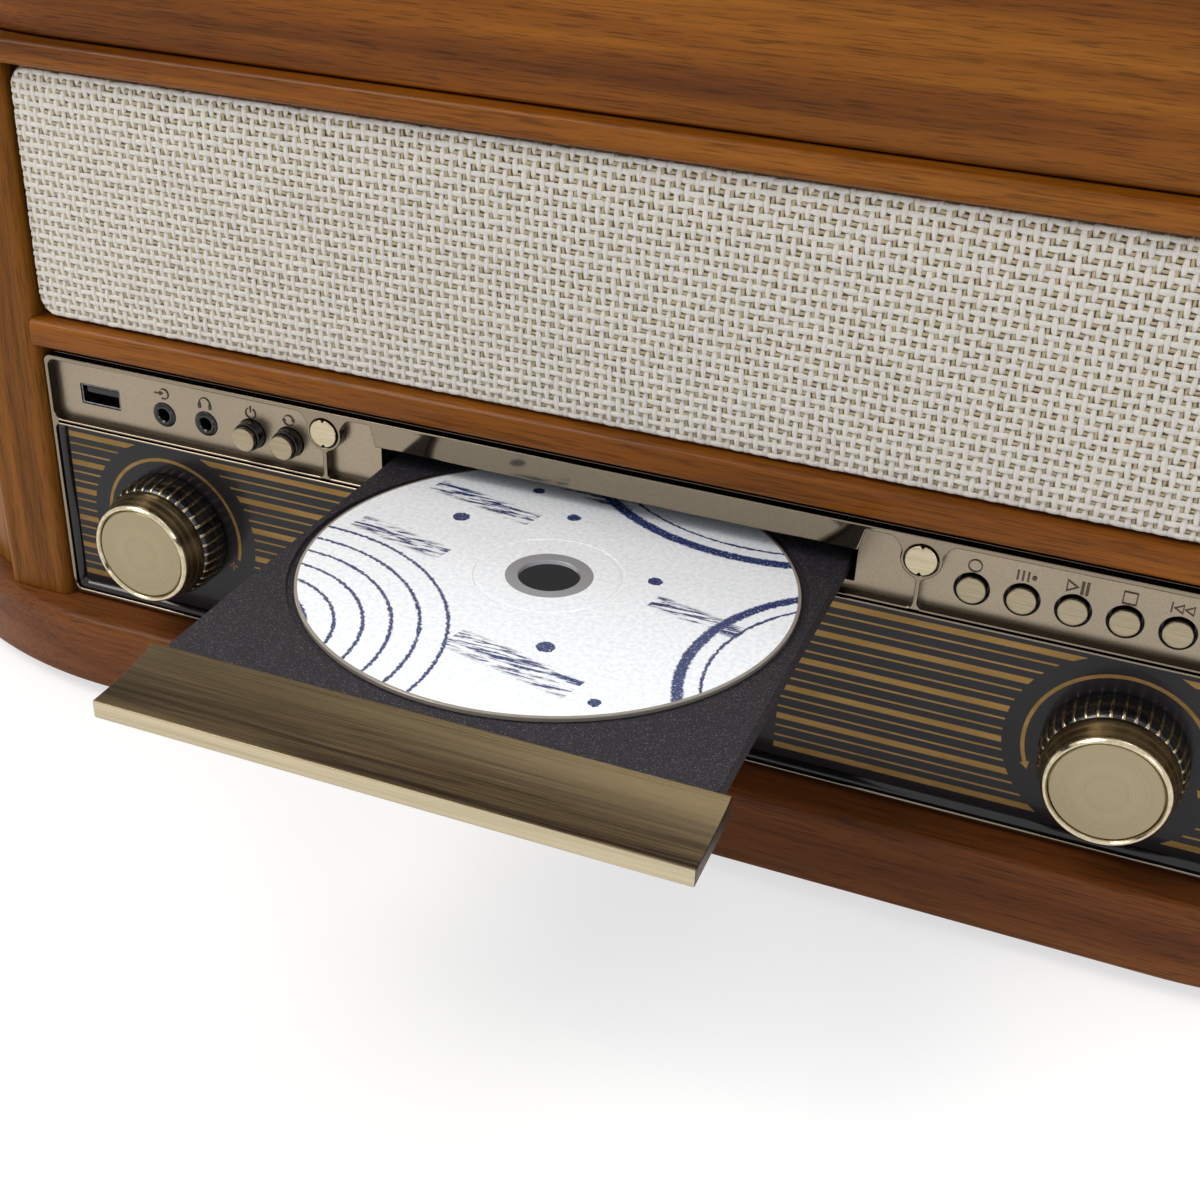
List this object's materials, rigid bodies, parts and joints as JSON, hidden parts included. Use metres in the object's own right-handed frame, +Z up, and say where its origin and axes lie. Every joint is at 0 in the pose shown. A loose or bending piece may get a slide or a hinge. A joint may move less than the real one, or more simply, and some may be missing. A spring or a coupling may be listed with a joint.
{
  "type": "stereo music centre",
  "caption": "Retro wooden music centre with cloth grille, dial panel, knobs, buttons, disc drawer and a record player under a hinged lid.",
  "frame": {"origin": "on the resting plane under the feet, below the middle of the control panel's front face", "axes": "+X to the object's right as seen from the front, +Y from the front to the back, +Z up"},
  "size_m": [0.454, 0.4588, 0.2445],
  "materials": {
    "wood": "satin lacquered walnut-stained veneer",
    "plinth_wood": "satin lacquered dark stained wood",
    "back_board": "painted fibreboard",
    "rubber": "matt",
    "bronze_metal": "bronze-tinted mirror plating",
    "dial_glass": "gloss, printed behind",
    "display": "gloss",
    "cap_metal": "satin plating",
    "baffle_board": "raw fibreboard",
    "grille_cloth": "coarse woven",
    "black_plastic": "moulded",
    "cone_paper": "pressed paper",
    "socket_steel": "nickel-plated",
    "circuit_board": "solder-masked",
    "steel": "zinc-plated",
    "grey_steel": "pressed sheet",
    "deck_plastic": "fine-grained moulding",
    "hinge_brass": "antique",
    "platter_aluminium": "turned",
    "mat_rubber": "ribbed",
    "pulley_brass": "turned",
    "arm_aluminium": "satin",
    "tray_plastic": "fine sparkle texture",
    "antique_brass": "brushed antique",
    "disc_print": "printed, clear-coated",
    "white_plastic": "natural acetal",
    "knob_black": "moulded, gloss",
    "knob_brass": "brushed, champagne-tinted",
    "button_metal": "brushed, champagne-tinted"
  },
  "bodies": {
    "cabinet": {"plinth": "plinth_wood", "side_walls": "wood", "front_posts": "wood", "rail_mid": "wood", "rail_top": "wood", "back_panel": "back_board", "feet": "rubber", "bezel_panel": "bronze_metal", "dial_glass": "dial_glass", "display_module": "display", "trim_caps": "cap_metal", "grille_board": "baffle_board", "grille_cloth": "grille_cloth", "speaker_frames": "black_plastic", "speaker_cones": "cone_paper", "usb_socket": "socket_steel", "jack_sockets": "black_plastic", "front_board": "circuit_board", "control_pots": "steel", "cd_chassis": "grey_steel", "disc_clamp": "grey_steel", "deck_plate": "deck_plastic", "deck_motor": "steel", "platter_spindle": "steel", "drive_belt": "rubber", "arm_base": "deck_plastic", "arm_rest": "black_plastic", "power_supply": "grey_steel", "amplifier_board": "circuit_board", "rear_sockets": "black_plastic", "cabinet_hinges": "hinge_brass"},
    "lid": {"lid": "wood", "lid_hinges": "hinge_brass"},
    "platter": {"platter": "platter_aluminium", "platter_mat": "mat_rubber"},
    "motor_pulley": {"motor_pulley": "pulley_brass"},
    "tonearm_swing": {"arm_gimbal": "steel"},
    "tonearm_lift": {"arm_tube": "arm_aluminium", "headshell": "black_plastic"},
    "cue_lever": {"cue_lever": "black_plastic"},
    "speed_knob": {"speed_knob": "black_plastic"},
    "disc_drawer": {"cd_tray": "tray_plastic", "tray_front": "antique_brass"},
    "compact_disc": {"compact_disc": "disc_print"},
    "loading_gear": {"loading_gear": "white_plastic"},
    "lift_frame": {"lift_frame": "grey_steel"},
    "spindle_hub": {"spindle_hub": "white_plastic"},
    "laser_sled": {"laser_sled": "black_plastic"},
    "volume_knob": {"volume_grip": "knob_black", "volume_cap": "knob_brass"},
    "tuning_knob": {"tuning_grip": "knob_black", "tuning_cap": "knob_brass"},
    "power_button": {"power_button": "button_metal"},
    "function_button": {"function_button": "button_metal"},
    "record_button": {"record_button": "button_metal"},
    "mode_button": {"mode_button": "button_metal"},
    "play_button": {"play_button": "button_metal"},
    "stop_button": {"stop_button": "button_metal"},
    "previous_button": {"previous_button": "button_metal"},
    "next_button": {"next_button": "button_metal"}
  },
  "joints": [
    {"name": "lid_hinge", "type": "hinge", "parent": "cabinet", "child": "lid", "pos_m": [0, 0.33, 0.1945], "axis": [-1, 0, 0], "range_deg": [0, 75]},
    {"name": "platter_spin", "type": "hinge", "parent": "cabinet", "child": "platter", "pos_m": [-0.045, 0.164, 0.192], "axis": [0, 0, 1], "continuous": true},
    {"name": "pulley_spin", "type": "hinge", "parent": "cabinet", "child": "motor_pulley", "pos_m": [-0.125, 0.164, 0.192], "axis": [0, 0, 1], "continuous": true},
    {"name": "arm_swing", "type": "hinge", "parent": "cabinet", "child": "tonearm_swing", "pos_m": [0.148, 0.244, 0.192], "axis": [0, 0, -1], "range_deg": [0, 52]},
    {"name": "arm_lift", "type": "hinge", "parent": "tonearm_swing", "child": "tonearm_lift", "pos_m": [0.148, 0.244, 0.217], "axis": [-1, 0, 0], "range_deg": [0, 3]},
    {"name": "cue_lift", "type": "hinge", "parent": "cabinet", "child": "cue_lever", "pos_m": [0.184, 0.224, 0.201], "axis": [-1, 0, 0], "range_deg": [0, 35]},
    {"name": "speed_select", "type": "hinge", "parent": "cabinet", "child": "speed_knob", "pos_m": [0.184, 0.06, 0.192], "axis": [0, 0, 1], "range_deg": [-30, 30]},
    {"name": "drawer_slide", "type": "slide", "parent": "cabinet", "child": "disc_drawer", "axis": [0, 1, 0], "range_m": [0, 0.1025]},
    {"name": "disc_spin", "type": "hinge", "parent": "disc_drawer", "child": "compact_disc", "pos_m": [0, -0.0355, 0.0946], "axis": [0, 0, 1], "continuous": true},
    {"name": "gear_turn", "type": "hinge", "parent": "cabinet", "child": "loading_gear", "pos_m": [-0.03, 0.022, 0.09], "axis": [0, 0, 1], "range_deg": [-490, 0]},
    {"name": "frame_lift", "type": "slide", "parent": "cabinet", "child": "lift_frame", "axis": [0, 0, 1], "range_m": [0, 0.0066]},
    {"name": "hub_spin", "type": "hinge", "parent": "lift_frame", "child": "spindle_hub", "pos_m": [0, 0.067, 0.08], "axis": [0, 0, 1], "continuous": true},
    {"name": "sled_slide", "type": "slide", "parent": "lift_frame", "child": "laser_sled", "axis": [0, 1, 0], "range_m": [0, 0.03]},
    {"name": "volume_turn", "type": "hinge", "parent": "cabinet", "child": "volume_knob", "pos_m": [-0.1345, 0, 0.058], "axis": [0, 1, 0], "range_deg": [-150, 150]},
    {"name": "tuning_turn", "type": "hinge", "parent": "cabinet", "child": "tuning_knob", "pos_m": [0.1345, 0, 0.058], "axis": [0, 1, 0], "continuous": true},
    {"name": "power_button_press", "type": "slide", "parent": "cabinet", "child": "power_button", "axis": [0, 1, 0], "range_m": [0, 0.001], "stiffness_N_per_m": 1200, "springref_m": -0.0004},
    {"name": "function_button_press", "type": "slide", "parent": "cabinet", "child": "function_button", "axis": [0, 1, 0], "range_m": [0, 0.001], "stiffness_N_per_m": 1200, "springref_m": -0.0004},
    {"name": "record_button_press", "type": "slide", "parent": "cabinet", "child": "record_button", "axis": [0, 1, 0], "range_m": [0, 0.001], "stiffness_N_per_m": 1200, "springref_m": -0.0004},
    {"name": "mode_button_press", "type": "slide", "parent": "cabinet", "child": "mode_button", "axis": [0, 1, 0], "range_m": [0, 0.001], "stiffness_N_per_m": 1200, "springref_m": -0.0004},
    {"name": "play_button_press", "type": "slide", "parent": "cabinet", "child": "play_button", "axis": [0, 1, 0], "range_m": [0, 0.001], "stiffness_N_per_m": 1200, "springref_m": -0.0004},
    {"name": "stop_button_press", "type": "slide", "parent": "cabinet", "child": "stop_button", "axis": [0, 1, 0], "range_m": [0, 0.001], "stiffness_N_per_m": 1200, "springref_m": -0.0004},
    {"name": "previous_button_press", "type": "slide", "parent": "cabinet", "child": "previous_button", "axis": [0, 1, 0], "range_m": [0, 0.001], "stiffness_N_per_m": 1200, "springref_m": -0.0004},
    {"name": "next_button_press", "type": "slide", "parent": "cabinet", "child": "next_button", "axis": [0, 1, 0], "range_m": [0, 0.001], "stiffness_N_per_m": 1200, "springref_m": -0.0004}
  ],
  "couplings": [
    {"joint": "gear_turn", "follows": "drawer_slide", "rad_per_m": -83.333},
    {"joint": "pulley_spin", "follows": "platter_spin", "ratio": 12.4}
  ]
}
